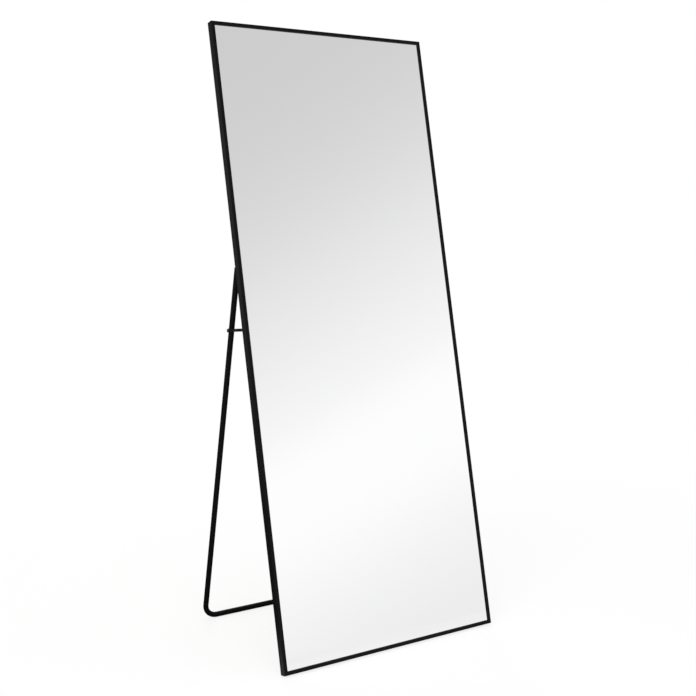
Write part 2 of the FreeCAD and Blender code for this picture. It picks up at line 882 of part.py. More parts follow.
# ---------------------------------------------------------------------------------------------------
# The stand. Its origin is in the middle of the hinges' axis, and its legs run down.
# ---------------------------------------------------------------------------------------------------

OPENED = at(0, pivot_y.value - footprint_middle, pivot_z, (1, 0, 0), math.degrees(leg_angle))


def stand_tube():
    """The bent tube, swept along two legs, two round corners and the floor bar."""
    piece = Piece("stand_tube")
    side = leg_side
    bend = size.bend_radius
    top = -size.eye_reach
    low = -size.leg_length
    spine = piece.sketch("XZ", 0)
    runs = (
        ((-side, top), (-side, low + bend)),
        ((bend - side, low), (side - bend, low)),
        ((side, low + bend), (side, top)),
    )
    for start, end in runs:
        ends = [FreeCAD.Vector(x.value, z.value, 0) for x, z in (start, end)]
        line = spine.addGeometry(Part.LineSegment(*ends))
        piece.tie(spine, line, 1, *start)
        piece.tie(spine, line, 2, *end)
    quarter = math.pi / 2
    for line, centre_side in ((0, -1), (1, 1)):
        centre_x = centre_side * (side.value - bend.value)
        centre = FreeCAD.Vector(centre_x, low.value + bend.value, 0)
        whole = Part.Circle(centre, FreeCAD.Vector(0, 0, 1), bend.value)
        begin = 2 * quarter if centre_side == -1 else 3 * quarter
        arc = spine.addGeometry(Part.ArcOfCircle(whole, begin, begin + quarter))
        spine.addConstraint(Sketcher.Constraint("Coincident", arc, 1, line, 2))
        spine.addConstraint(Sketcher.Constraint("Coincident", arc, 2, line + 1, 1))
        held = spine.addConstraint(Sketcher.Constraint("Radius", arc, bend.value))
        spine.setExpression(f"Constraints[{held}]", bend.formula)
    ring = piece.sketch("XY", top)
    piece.draw(ring, [circle(-side, 0, size.tube_radius), circle(-side, 0, bore_radius)])
    document.recompute()
    pipe = piece.body.newObject("PartDesign::AdditivePipe", "stand_tube_pipe")
    pipe.Profile = ring
    pipe.Spine = spine
    document.recompute()
    reach = side + size.tube_radius
    stud_hole = circle(0, -size.stud_reach, size.stud_radius + size.screw_play)
    piece.cut("YZ", -reach, 2 * reach, stud_hole)
    for way in (-1, 1):
        pin_hole = circle(way * side, -size.eye_pin_place, size.eye_pin_radius + size.screw_play)
        piece.cut("XZ", -size.tube_radius, 2 * size.tube_radius, pin_hole)
    return piece


def leg_eye(label):
    """A round plug in the top of the leg, with a flat eye that turns on the hinge bolt."""
    radius = size.tube_radius
    piece = Piece(label)
    piece.add("YZ", -eye_side, size.eye_thickness, rectangle(-radius, radius, -size.eye_reach, 0))
    piece.add("YZ", -eye_side, size.eye_thickness, circle(0, 0, radius))
    plug_start = -size.eye_reach - size.plug_length
    piece.add("XY", plug_start, size.plug_length, circle(0, 0, bore_radius - size.plug_play))
    piece.cut("YZ", -eye_side, size.eye_thickness, circle(0, 0, pivot_hole))
    pin_hole = circle(0, -size.eye_pin_place, size.eye_pin_radius + size.screw_play)
    return piece.cut("XZ", -radius, 2 * radius, pin_hole)


def leg_eye_pin(label):
    length = 2 * size.tube_radius - 2 * size.plug_play
    outline = circle(0, -size.eye_pin_place, size.eye_pin_radius)
    return Piece(label).add("XZ", -length / 2, length, outline)


def stay_stud(label, sign):
    """The bolt that the stay hooks over: it goes through the leg, with a collar and a round head."""
    tail = size.tube_radius + size.stud_nut_height + size.thread_shown
    chamfer = size.stud_head_chamfer
    profile = [
        (-sign * tail, 0),
        (-sign * tail, size.stud_radius),
        (sign * size.tube_radius, size.stud_radius),
        (sign * size.tube_radius, size.stud_collar_radius),
        (sign * stud_collar_outside, size.stud_collar_radius),
        (sign * stud_collar_outside, size.stud_radius),
        (sign * stud_head_side, size.stud_radius),
        (sign * stud_head_side, size.stud_head_radius),
        (sign * (stud_head_outside - chamfer), size.stud_head_radius),
        (sign * stud_head_outside, size.stud_head_radius - chamfer),
        (sign * stud_head_outside, 0),
    ]
    return Piece(label).turn(profile)


place(stand_tube(), OPENED)
for side, sign in SIDES.items():
    leg_place = OPENED * at(sign * leg_side, 0, 0)
    stud_place = leg_place * at(0, 0, -size.stud_reach)
    place(leg_eye(f"leg_eye_{side}"), leg_place)
    place(leg_eye_pin(f"leg_eye_pin_{side}"), leg_place)
    place(stay_stud(f"stay_stud_{side}", sign), stud_place)
    stud_nut = nut(
        f"stay_stud_nut_{side}",
        size.tube_radius,
        size.stud_nut_height,
        size.stud_nut_width,
        size.stud_radius + size.screw_play,
        -sign,
    )
    place(stud_nut, stud_place)

# ---------------------------------------------------------------------------------------------------
# Rubber sleeves on the floor bar, and bumpers on the side rails
# ---------------------------------------------------------------------------------------------------


def bar_sleeve(label):
    """A ring on the bar with a level flat, which stands on the floor. Its origin is on the bar."""
    outer = size.tube_radius + size.sleeve_thickness
    inner = size.tube_radius + size.plug_play
    start = -size.sleeve_length / 2
    piece = Piece(label).add("YZ", start, size.sleeve_length, circle(0, 0, outer))
    piece.cut("YZ", start, size.sleeve_length, circle(0, 0, inner))
    under = rectangle(-outer, outer, -outer - size.sleeve_flat, -tube_height)
    return piece.cut("YZ", start, size.sleeve_length, under)


def fold_bumper(label):
    length = size.pivot_offset - size.tube_radius - size.bumper_play
    return Piece(label).add("XZ", size.frame_depth, length, circle(0, 0, size.bumper_radius))


for side, sign in SIDES.items():
    sleeve_place = at(sign * size.sleeve_spacing / 2, bar_y - footprint_middle, tube_height)
    place(bar_sleeve(f"bar_sleeve_{side}"), sleeve_place)
    bumper_x = leg_side + size.bumper_side
    place(
        fold_bumper(f"fold_bumper_{side}"),
        LEANING * at(sign * bumper_x, 0, size.bumper_height_on_rail),
    )

# ---------------------------------------------------------------------------------------------------
# Checks, then one file for each sub-part
# ---------------------------------------------------------------------------------------------------

document.recompute()
for thing in document.Objects:
    if "Invalid" in thing.State or "Error" in thing.State:
        raise RuntimeError(f"{thing.Label} failed: {thing.State}")
for body in sub_parts:
    if body.Shape.isNull() or not body.Shape.isValid() or not body.Shape.Solids:
        raise RuntimeError(f"{body.Label} has no valid shape")

bar_run = 2 * (leg_side.value - size.bend_radius.value)
leg_run = size.leg_length.value - size.bend_radius.value - size.eye_reach.value
tube_line = bar_run + 2 * leg_run + math.pi * size.bend_radius.value
tube_section = math.pi * (size.tube_radius.value**2 - bore_radius.value**2)
tube_volume = [body for body in sub_parts if body.Label == "stand_tube"][0].Shape.Volume
print(f"stand tube: {tube_volume:.0f} mm3, section times length {tube_section * tube_line:.0f} mm3")
print(f"the stand opens by {math.degrees(open_angle):.3f} degrees, its bar is {bar_y:.2f} mm back")
stay_swing = math.degrees(stow_angle)
print(f"a stay is {size.stay_length.value:.2f} mm long and swings by {stay_swing:.2f} degrees")
print(f"a leg is {size.leg_length.value:.2f} mm long")

os.makedirs("parts", exist_ok=True)
for body in sub_parts:
    body.Shape.exportStep(os.path.join("parts", body.Label + ".step"))
print(f"{len(sub_parts)} sub-parts")
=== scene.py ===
"""The looks of a leaning floor mirror on a folding tube stand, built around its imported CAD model.

Units are metres, in the CAD's own frame: +Z is up, the mirror faces -Y, and the origin is on the
floor in the middle of the footprint. The frame of the mirror leans back by LEAN.
"""

import json
import math

import bmesh
import bpy
from mathutils import Matrix, Vector


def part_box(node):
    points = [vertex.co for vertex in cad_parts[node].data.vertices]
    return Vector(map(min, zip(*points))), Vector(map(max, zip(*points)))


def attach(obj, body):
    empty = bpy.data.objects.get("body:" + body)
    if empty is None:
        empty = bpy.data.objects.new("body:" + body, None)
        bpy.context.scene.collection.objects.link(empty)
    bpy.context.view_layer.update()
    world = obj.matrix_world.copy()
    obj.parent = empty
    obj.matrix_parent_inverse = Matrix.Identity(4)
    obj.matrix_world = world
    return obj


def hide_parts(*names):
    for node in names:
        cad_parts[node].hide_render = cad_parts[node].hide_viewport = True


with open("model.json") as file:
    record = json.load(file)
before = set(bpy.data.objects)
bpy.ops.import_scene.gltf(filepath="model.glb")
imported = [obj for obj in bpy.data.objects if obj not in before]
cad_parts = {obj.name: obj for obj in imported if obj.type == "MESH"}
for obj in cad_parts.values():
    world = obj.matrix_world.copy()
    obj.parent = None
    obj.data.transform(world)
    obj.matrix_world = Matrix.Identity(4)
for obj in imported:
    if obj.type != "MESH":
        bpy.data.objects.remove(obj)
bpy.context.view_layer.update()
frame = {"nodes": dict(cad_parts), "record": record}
NODES = frame["nodes"]
BODIES = frame["record"]["behaviour"]["bodies"]
BODY_OF = {node: body for body, nodes in BODIES.items() for node in nodes}
SLOT_OF = {part["node"]: part["material_slot"] for part in frame["record"]["subparts"]}

MILLIMETRE = 0.001

# how far the frame leans back and the legs slope, and which way the mirror faces
LEAN = math.radians(12.2)
LEG_ANGLE = math.radians(12.73)
FACING = (0, -math.cos(LEAN), math.sin(LEAN))

# ---------------------------------------------------------------------------------------------------
# How a material is made
# ---------------------------------------------------------------------------------------------------


class NodeTree:
    """A tree of shader nodes. Most of its helpers add a node and give back its output socket."""

    def __init__(self, tree):
        self.nodes = tree.nodes
        self.links = tree.links

    def put(self, socket, value):
        """Sets a socket, or links it to an output. A colour may come without its alpha."""
        if isinstance(value, bpy.types.NodeSocket):
            self.links.new(value, socket)
        elif socket.type == "RGBA" and len(value) == 3:
            socket.default_value = (*value, 1)
        else:
            socket.default_value = value

    def add(self, kind, sockets, **settings):
        """A node of that kind, with its input sockets put by their names or numbers."""
        node = self.nodes.new(kind)
        for name, value in settings.items():
            setattr(node, name, value)
        for key, value in sockets.items():
            self.put(node.inputs[key], value)
        return node

    def ranged(self, value, low, high, out_low=0.0, out_high=1.0, smooth=False):
        sockets = {0: value, 1: low, 2: high, 3: out_low, 4: out_high}
        kind = "SMOOTHSTEP" if smooth else "LINEAR"
        return self.add("ShaderNodeMapRange", sockets, interpolation_type=kind).outputs[0]

    def maths(self, operation, first, second=0.0):
        return self.add("ShaderNodeMath", {0: first, 1: second}, operation=operation).outputs[0]

    def scaled(self, value, share):
        return self.maths("MULTIPLY", value, share)

    def plus(self, first, second, share):
        """The first, with a share of the second added."""
        return self.maths("ADD", first, self.scaled(second, share))

    def largest(self, first, *others):
        for other in others:
            first = self.maths("MAXIMUM", first, other)
        return first

    def along(self, vector, direction):
        """How much of a vector points that way."""
        sockets = {0: vector, 1: direction}
        return self.add("ShaderNodeVectorMath", sockets, operation="DOT_PRODUCT").outputs["Value"]

    def mixed(self, share, first, second):
        """From the first colour, at a share of 0, to the second, at 1."""
        sockets = {"Factor": share, 6: first, 7: second}
        return self.add("ShaderNodeMix", sockets, data_type="RGBA").outputs[2]


class Finish(NodeTree):
    """A material of one Principled shader, whose patterns lie in the object's own coordinates."""

    # most of a noise lies between these
    NOISE_LOW, NOISE_HIGH = 0.3, 0.7
    # the cosines of how far an eased normal leans from the flat's, on a flat and on an edge
    ON_FLAT, ON_EDGE = 0.995, 0.9

    def __init__(self, name, **sockets):
        self.material = bpy.data.materials.new(name)
        self.material.use_nodes = True
        super().__init__(self.material.node_tree)
        self.shader = self.nodes["Principled BSDF"]
        inputs = self.shader.inputs
        self.sockets = {socket.name.lower().replace(" ", "_"): socket for socket in inputs}
        coordinates = self.add("ShaderNodeTexCoord", {})
        self.place = coordinates.outputs["Object"]
        self.normal = coordinates.outputs["Normal"]
        self.set(**sockets)

    def set(self, **sockets):
        """Puts the shader's sockets, by their names in small letters, with _ for a space."""
        for name, value in sockets.items():
            self.put(self.sockets[name], value)

    def stretched(self, scale, turn=(0, 0, 0)):
        """The object's coordinates, turned and then scaled, so that a pattern runs along a piece."""
        sockets = {"Vector": self.place, "Rotation": turn, "Scale": scale}
        return self.add("ShaderNodeMapping", sockets).outputs["Vector"]

    def noise(self, size, detail=2.0, roughness=0.5, distortion=0.0, place=None):
        """Smooth noise from 0 to 1, whose bumps are about as wide as the size."""
        sockets = {
            "Vector": place or self.place,
            "Scale": 1 / size,
            "Detail": detail,
            "Roughness": roughness,
            "Distortion": distortion,
        }
        return self.add("ShaderNodeTexNoise", sockets).outputs["Fac"]

    def cells(self, size):
        """How far a point is from the middle of its cell, from 0."""
        sockets = {"Vector": self.place, "Scale": 1 / size}
        return self.add("ShaderNodeTexVoronoi", sockets, feature="F1").outputs["Distance"]

    def spread(self, noise, low, high):
        """Noise as a number from low to high, which most of it reaches."""
        return self.ranged(noise, self.NOISE_LOW, self.NOISE_HIGH, low, high)

    def bump(self, height, depth, normal=None):
        """Relief of that depth between the heights 0 and 1."""
        sockets = {"Height": height, "Distance": depth, "Strength": 1.0}
        if normal is not None:
            sockets["Normal"] = normal
        return self.add("ShaderNodeBump", sockets).outputs["Normal"]

    def soft_edges(self, radius):
        """The normal that the surface would have with its edges eased to that radius."""
        return self.add("ShaderNodeBevel", {"Radius": radius}, samples=4).outputs["Normal"]

    def edge_share(self, eased):
        """1 on an eased edge, and 0 on the flats."""
        flat = self.add("ShaderNodeNewGeometry", {}).outputs["Normal"]
        return self.ranged(self.along(eased, flat), self.ON_FLAT, self.ON_EDGE)


def shaded(colour, factor):
    """The colour made darker or lighter, and no lighter than white."""
    return tuple(min(1.0, factor * tone) for tone in colour)


def paint(piece, material):
    piece.data.materials.clear()
    piece.data.materials.append(material)


# ---------------------------------------------------------------------------------------------------
# The finishes. Colours are linear red, green and blue. A finish that is mottled has a pair of them,
# the darker one first.
# ---------------------------------------------------------------------------------------------------

WHITE = (1, 1, 1)
COAT_BLACK = (0.003, 0.003, 0.0032)
BRACKET_BLACK = (0.004, 0.004, 0.0042)
SILVER = (0.975, 0.98, 0.978), (0.985, 0.985, 0.985)
GLASS_GREEN = (0.10, 0.22, 0.17), (0.16, 0.30, 0.25)
FILM_GREY = (0.46, 0.48, 0.49), (0.58, 0.6, 0.61)
BOARD_BROWN = (0.23, 0.125, 0.06), (0.36, 0.215, 0.115)
BOARD_PALE = (0.42, 0.27, 0.155)
BOARD_FIBRE = (0.52, 0.36, 0.22)
BOARD_FLECK = (0.11, 0.055, 0.028)
FOAM_GREY = (0.03, 0.03, 0.03), (0.075, 0.075, 0.075)
RUBBER_BLACK = (0.016, 0.016, 0.016), (0.035, 0.034, 0.033)
ZINC = (0.42, 0.42, 0.43), (0.6, 0.6, 0.6)
BLACK_ZINC = (0.05, 0.05, 0.053), (0.09, 0.09, 0.095)
FLOOR_WHITE = (0.9, 0.9, 0.9), (0.93, 0.93, 0.93)

# how much shorter a pattern's coordinates are along a rail, a tool mark and a fibre
RAIL_STRETCH, MARK_STRETCH, FIBRE_STRETCH = 0.02, 0.08, 0.12
# how far each layer of the board's fibres is turned from upright, in radians, and how wide they are
FIBRE_LAYERS = ((0.4, 2.2 * MILLIMETRE), (-0.7, 2.7 * MILLIMETRE), (1.35, 1.8 * MILLIMETRE))


def coated(name, black, roughness, peel_size, depth, stretch=(1, 1, 1), turn=(0, 0, 0)):
    """Black coating on metal: fine orange peel, gloss that is a little uneven, and glossier edges
    with a painted highlight.
    """
    finish = Finish(name, specular_ior_level=0.08)
    eased = finish.soft_edges(0.5 * MILLIMETRE)
    edge = finish.edge_share(eased)
    cloudy = finish.noise(90 * MILLIMETRE, detail=3.0)
    peel = finish.noise(peel_size, detail=3.0, roughness=0.6)
    streaks = finish.noise(0.6 * MILLIMETRE, place=finish.stretched(stretch, turn))
    coat = finish.mixed(cloudy, shaded(black, 0.8), black)
    gloss = finish.spread(cloudy, roughness - 0.04, roughness + 0.04)
    finish.set(
        # the eased edges are painted lighter, a painted highlight, and are made glossier below
        base_color=finish.mixed(finish.scaled(edge, 0.6), coat, shaded(black, 2.2)),
        roughness=finish.plus(gloss, edge, -0.06),
        normal=finish.bump(finish.plus(peel, streaks, 0.5), depth, eased),
    )
    return finish.material


def rail_coat(name, stretch, turn=(0, 0, 0)):
    """The smooth coat of the rails, with faint streaks along the rail."""
    return coated(name, COAT_BLACK, 0.36, 1.1 * MILLIMETRE, 0.008 * MILLIMETRE, stretch, turn)


def powder_coat(name, black, peel_size):
    """The duller and rougher coat of the stand and the brackets."""
    return coated(name, black, 0.48, peel_size, 0.014 * MILLIMETRE)


def silvered_glass():
    """Silver shows through the front and the polished bevel, and the ground edges are green."""
    finish = Finish("silvered_glass", specular_ior_level=0.5)
    front = finish.ranged(finish.along(finish.normal, FACING), 0.5, 0.6)
    smudge = finish.noise(60 * MILLIMETRE, detail=4.0, distortion=0.4)
    polished = finish.ranged(smudge, 0.35, 0.75, 0.0, 0.012)
    ground = finish.spread(finish.noise(1.5 * MILLIMETRE, detail=3.0), 0.3, 0.45)
    roughness = finish.add("ShaderNodeMix", {"Factor": front, 2: ground, 3: polished})
    silver = finish.mixed(smudge, *SILVER)
    green = finish.mixed(finish.noise(4 * MILLIMETRE), *GLASS_GREEN)
    finish.set(
        base_color=finish.mixed(front, green, silver),
        roughness=roughness.outputs[0],
        metallic=front,
    )
    return finish.material


def splinter_film():
    """Grey woven film, a little wrinkled."""
    finish = Finish("splinter_film", specular_ior_level=0.45, coat_weight=0.15, coat_roughness=0.3)
    wrinkle = finish.noise(30 * MILLIMETRE, detail=4.0, distortion=1.2)
    weave = finish.noise(0.9 * MILLIMETRE)
    finish.set(
        base_color=finish.mixed(wrinkle, *FILM_GREY),
        roughness=finish.spread(weave, 0.38, 0.5),
        normal=finish.bump(finish.plus(wrinkle, weave, 0.2), 0.3 * MILLIMETRE),
    )
    return finish.material


def hardboard():
    """Brown fibreboard: a mottled ground, pale fibres laid three ways, and dark flecks."""
    finish = Finish("hardboard", specular_ior_level=0.3)
    mottle = finish.noise(45 * MILLIMETRE, detail=5.0, roughness=0.6, distortion=0.5)
    fine = finish.noise(4 * MILLIMETRE, detail=5.0, roughness=0.7, distortion=1.5)
    layers = []
    for turn, width in FIBRE_LAYERS:
        place = finish.stretched((1, 1, FIBRE_STRETCH), (0, turn, 0))
        layers.append(finish.ranged(finish.noise(width, detail=3.0, place=place), 0.66, 0.74))
    fibres = finish.largest(*layers)
    flecks = finish.ranged(finish.cells(11 * MILLIMETRE), 0.075, 0.045)
    tone = finish.mixed(mottle, *BOARD_BROWN)
    tone = finish.mixed(finish.ranged(fine, 0.3, 0.75), tone, BOARD_PALE)
    tone = finish.mixed(finish.scaled(fibres, 0.55), tone, BOARD_FIBRE)
    tone = finish.mixed(finish.scaled(flecks, 0.7), tone, BOARD_FLECK)
    relief = finish.plus(finish.scaled(fine, 0.6), fibres, 0.4)
    finish.set(
        base_color=tone,
        roughness=finish.spread(fine, 0.55, 0.72),
        normal=finish.bump(relief, 0.12 * MILLIMETRE),
    )
    return finish.material


def foam():
    """Dark closed-cell foam, with each cell a pit, painted darker towards its middle as painted
    shade.
    """
    finish = Finish("closed_cell_foam", specular_ior_level=0.2)
    pores = finish.cells(0.6 * MILLIMETRE)
    finish.set(
        # each pit is painted darker towards its middle: painted shade
        base_color=finish.mixed(pores, *FOAM_GREY),
        roughness=finish.ranged(pores, 0.0, 0.8, 0.8, 0.95),
        normal=finish.bump(pores, 0.15 * MILLIMETRE),
    )
    return finish.material


def rubber():
    """Matt rubber with a fine grain and some dust."""
    finish = Finish("matt_rubber", specular_ior_level=0.3, sheen_weight=0.08, sheen_roughness=0.5)
    eased = finish.soft_edges(0.4 * MILLIMETRE)
    dust = finish.noise(12 * MILLIMETRE, detail=5.0, roughness=0.7)
    grain = finish.noise(0.4 * MILLIMETRE)
    finish.set(
        base_color=finish.mixed(finish.ranged(dust, 0.45, 0.8), *RUBBER_BLACK),
        roughness=finish.spread(dust, 0.62, 0.78),
        normal=finish.bump(grain, 0.03 * MILLIMETRE, eased),
    )
    return finish.material


def plated(name, dark, light, roughness):
    """Plated steel: soft blotches of the passivation, fine tool marks, and a painted highlight on the
    edges.
    """
    finish = Finish(name, metallic=1.0)
    eased = finish.soft_edges(0.25 * MILLIMETRE)
    edge = finish.edge_share(eased)
    blotch = finish.noise(6 * MILLIMETRE, detail=4.0, distortion=0.6)
    marks = finish.noise(0.2 * MILLIMETRE, place=finish.stretched((1, 1, MARK_STRETCH)))
    tone = finish.mixed(blotch, dark, light)
    finish.set(
        # the eased edges are painted lighter: a painted highlight
        base_color=finish.mixed(finish.scaled(edge, 0.5), tone, shaded(light, 1.7)),
        roughness=finish.spread(blotch, roughness - 0.06, roughness + 0.08),
        normal=finish.bump(marks, 0.006 * MILLIMETRE, eased),
    )
    return finish.material


FINISHES = {
    "frame_metal": rail_coat("rail_coat_upright", (1, 1, RAIL_STRETCH), (LEAN, 0, 0)),
    "stand_metal": powder_coat("tube_powder_coat", COAT_BLACK, 0.8 * MILLIMETRE),
    "bracket_metal": powder_coat("bracket_powder_coat", BRACKET_BLACK, 0.7 * MILLIMETRE),
    "mirror": silvered_glass(),
    "film": splinter_film(),
    "board": hardboard(),
    "foam": foam(),
    "rubber": rubber(),
    "key_metal": plated("zinc_plate", *ZINC, 0.34),
    "hardware": plated("black_zinc", *BLACK_ZINC, 0.36),
}

for node, slot in SLOT_OF.items():
    paint(NODES[node], FINISHES[slot])

# the streaks of these two rails run across
cross_rail_coat = rail_coat("rail_coat_across", (RAIL_STRETCH, 1, 1))
for node in ("top_rail", "bottom_rail"):
    paint(NODES[node], cross_rail_coat)

# ---------------------------------------------------------------------------------------------------
# Outlines of the turned pieces, which stand for the plain bolts, nuts, studs, rivets and sleeves.
# An outline is a list of rings, each a place along x and a radius, in millimetres. A place is counted
# outwards from the middle of the leg, or from the middle of the sleeve.
# ---------------------------------------------------------------------------------------------------

DOME_STEPS = 5
THREAD_PITCH, THREAD_DEPTH, THREAD_STEPS = 0.8, 0.42, 5
# how much an edge is eased, and how much wider a bore or a socket is at its mouth
EASE, MOUTH_EASE = 0.15, 0.3
SOCKET_FLOOR = 0.8
# how much wider a nut's bore is than its bolt
NUT_PLAY = 0.05


def hexagon(flat, limit=math.inf):
    """The radius at each angle of a hexagon whose flats are at that distance, within the limit."""
    return lambda angle: min(limit, flat / math.cos(angle % (math.pi / 3) - math.pi / 6))


def ridge(place, radius):
    """The radius of a cut thread there, at each angle. Its ridge winds round once in each pitch."""

    def reach(angle):
        turn = (place / THREAD_PITCH - angle / (2 * math.pi)) % 1
        return radius - THREAD_DEPTH * abs(2 * turn - 1)

    return reach


def thread(start, end, radius):
    """Rings of a cut thread."""
    count = round((end - start) / THREAD_PITCH * THREAD_STEPS)
    places = [start + (end - start) * step / count for step in range(count + 1)]
    return [(place, ridge(place, radius)) for place in places]


def dome(edge, crown):
    """Rings of a quarter of an ellipse, from an edge along the axis to a flat crown."""
    (start, wide), (end, narrow) = edge, crown
    rings = []
    for step in range(DOME_STEPS + 1):
        angle = math.pi / 2 * step / DOME_STEPS
        place = start + (end - start) * math.sin(angle)
        rings.append((place, narrow + (wide - narrow) * math.cos(angle)))
    return rings


def socket(mouth, flat, depth):
    """Rings of a hexagon socket with an eased mouth and a hollow floor."""
    return [
        (mouth, flat + MOUTH_EASE),
        (mouth - EASE, hexagon(flat)),
        (mouth - depth, hexagon(flat)),
        (mouth - depth - EASE, SOCKET_FLOOR),
    ]


def nut(seat, height, flat, bore, collar=0.0):
    """Rings of a hexagon nut, inwards from its seat, which may end in a round collar.

    A cone of 30 degrees cuts its corners, from the round face that it has at either end.
    """
    ease = 0.1 * flat
    face = 0.98 * flat
    edge = height - collar
    cut = [(ease * share, face + math.sqrt(3) * ease * share) for share in (0.25, 0.5, 0.75, 1.0)]
    rings = [(0.0, bore + MOUTH_EASE), (0.0, face)]
    rings += [(deep, hexagon(flat, wide)) for deep, wide in cut]
    rings += [(edge - deep, hexagon(flat, wide)) for deep, wide in reversed(cut)]
    rings += [(edge, face)]
    if collar:
        rings += [(edge, 0.93 * flat), *dome((height - 0.4, 0.92 * flat), (height, 0.78 * flat))]
    rings += [(height, bore + MOUTH_EASE), (height - MOUTH_EASE, bore), (MOUTH_EASE, bore)]
    return [(seat - deep, radius) for deep, radius in rings]


# a button-headed bolt with a hexagon socket, and its nut, which has a locking collar
BOLT_RADIUS, BOLT_HEAD_RADIUS = 2.5, 4.0
BOLT_END, BOLT_SEAT, BOLT_TOP = -10.6, 5.6, 7.8
HINGE_BOLT = [
    (BOLT_END, 1.9),
    *thread(BOLT_END + EASE, -4.0, BOLT_RADIUS),
    (-3.9, BOLT_RADIUS),
    (BOLT_SEAT, BOLT_RADIUS),
    (BOLT_SEAT, BOLT_HEAD_RADIUS - EASE),
    (BOLT_SEAT + EASE, BOLT_HEAD_RADIUS),
    *dome((6.5, BOLT_HEAD_RADIUS), (BOLT_TOP, 2.2)),
    *socket(BOLT_TOP, flat=1.5, depth=1.3),
]
HINGE_NUT = nut(-BOLT_SEAT, height=4.0, flat=4.0, bore=BOLT_RADIUS + NUT_PLAY, collar=1.1)

# the stud that a stay hooks over, with a collar against the leg and a socket in its round head
STUD_RADIUS, COLLAR_RADIUS, STUD_HEAD_RADIUS = 2.0, 4.0, 4.5
STUD_END, STUD_SEAT, COLLAR_END, STUD_HEAD, STUD_TOP = -12.2, 8.0, 8.7, 11.0, 13.0
STUD_EASE = 0.2
STAY_STUD = [
    (STUD_END, 1.5),
    *thread(STUD_END + EASE, -7.5, STUD_RADIUS),
    (-7.4, STUD_RADIUS),
    (STUD_SEAT, STUD_RADIUS),
    (STUD_SEAT, COLLAR_RADIUS),
    (COLLAR_END - STUD_EASE, COLLAR_RADIUS),
    (COLLAR_END, COLLAR_RADIUS - STUD_EASE),
    (COLLAR_END, STUD_RADIUS),
    (STUD_HEAD, STUD_RADIUS),
    (STUD_HEAD, STUD_HEAD_RADIUS - STUD_EASE),
    (STUD_HEAD + STUD_EASE, STUD_HEAD_RADIUS),
    *dome((12.0, STUD_HEAD_RADIUS), (STUD_TOP, 3.5)),
    *socket(STUD_TOP, flat=1.3, depth=1.0),
]
STUD_NUT = nut(-STUD_SEAT, height=3.2, flat=3.5, bore=STUD_RADIUS + NUT_PLAY)

# a rivet with a domed head and a pressed tail
RIVET_RADIUS, RIVET_HEAD_RADIUS = 2.0, 3.8
RIVET_TAIL_END, RIVET_HEAD = 8.9, 12.4
RIVET = [
    *reversed(dome((8.7, RIVET_HEAD_RADIUS), (8.4, 2.4))),
    (RIVET_TAIL_END, RIVET_HEAD_RADIUS),
    (RIVET_TAIL_END, RIVET_RADIUS),
    (RIVET_HEAD, RIVET_RADIUS),
    (RIVET_HEAD, RIVET_HEAD_RADIUS),
    *dome((12.6, RIVET_HEAD_RADIUS), (13.4, 0.3)),
]

# a rubber sleeve with ribs round it
SLEEVE_BORE, SLEEVE_GROOVE, SLEEVE_RIB = 8.05, 9.05, 9.6
SLEEVE_END = 20.0
RIB_PITCH, RIBS = 3.2, 11
GROOVE_MOUTH, GROOVE_FLOOR = 0.75, 0.45
SLEEVE_RIM = dome((SLEEVE_END - 0.7, SLEEVE_RIB), (SLEEVE_END, 9.0))
SLEEVE = [(-SLEEVE_END, SLEEVE_BORE)]
SLEEVE += [(-place, radius) for place, radius in reversed(SLEEVE_RIM)]
for rib in range(RIBS):
    groove = (rib - (RIBS - 1) / 2) * RIB_PITCH
    SLEEVE += [(groove - GROOVE_MOUTH, SLEEVE_RIB), (groove - GROOVE_FLOOR, SLEEVE_GROOVE)]
    SLEEVE += [(groove + GROOVE_FLOOR, SLEEVE_GROOVE), (groove + GROOVE_MOUTH, SLEEVE_RIB)]
SLEEVE += [*SLEEVE_RIM, (SLEEVE_END, SLEEVE_BORE)]

# ---------------------------------------------------------------------------------------------------
# The turned pieces
# ---------------------------------------------------------------------------------------------------

SEGMENTS = 48
# how far the legs are from the middle of the mirror, and how high the floor bar's axis is
LEG_SIDE = 340.0 * MILLIMETRE
BAR_HEIGHT = 9.2 * MILLIMETRE
# an edge that turns by more than this shades as a sharp one
SHARP = math.radians(32)

# Each piece's name, the node that it stands for, its rings, its turn about x, and whether it is a
# tube. The turns set the corners of the nuts and sockets square to the mirror, or to the legs.
TURNED = (
    ("socket_bolt", "hinge_bolt", HINGE_BOLT, -LEAN, False),
    ("lock_nut", "hinge_nut", HINGE_NUT, -LEAN, True),
    ("hook_stud", "stay_stud", STAY_STUD, LEG_ANGLE, False),
    ("stud_nut", "stay_stud_nut", STUD_NUT, LEG_ANGLE, True),
    ("domed_rivet", "stay_rivet", RIVET, -LEAN, False),
    ("ribbed_sleeve", "bar_sleeve", SLEEVE, 0.0, True),
)


def bridge(shape, first, second):
    """Faces between two rings with as many corners."""
    for step in range(len(first)):
        after = (step + 1) % len(first)
        shape.faces.new((first[step], second[step], second[after], first[after]))


def made_of(shape, name):
    """An object of that shape, put in the scene. The shape itself is freed."""
    mesh = bpy.data.meshes.new(name)
    shape.to_mesh(mesh)
    shape.free()
    piece = bpy.data.objects.new(name, mesh)
    bpy.context.scene.collection.objects.link(piece)
    return piece


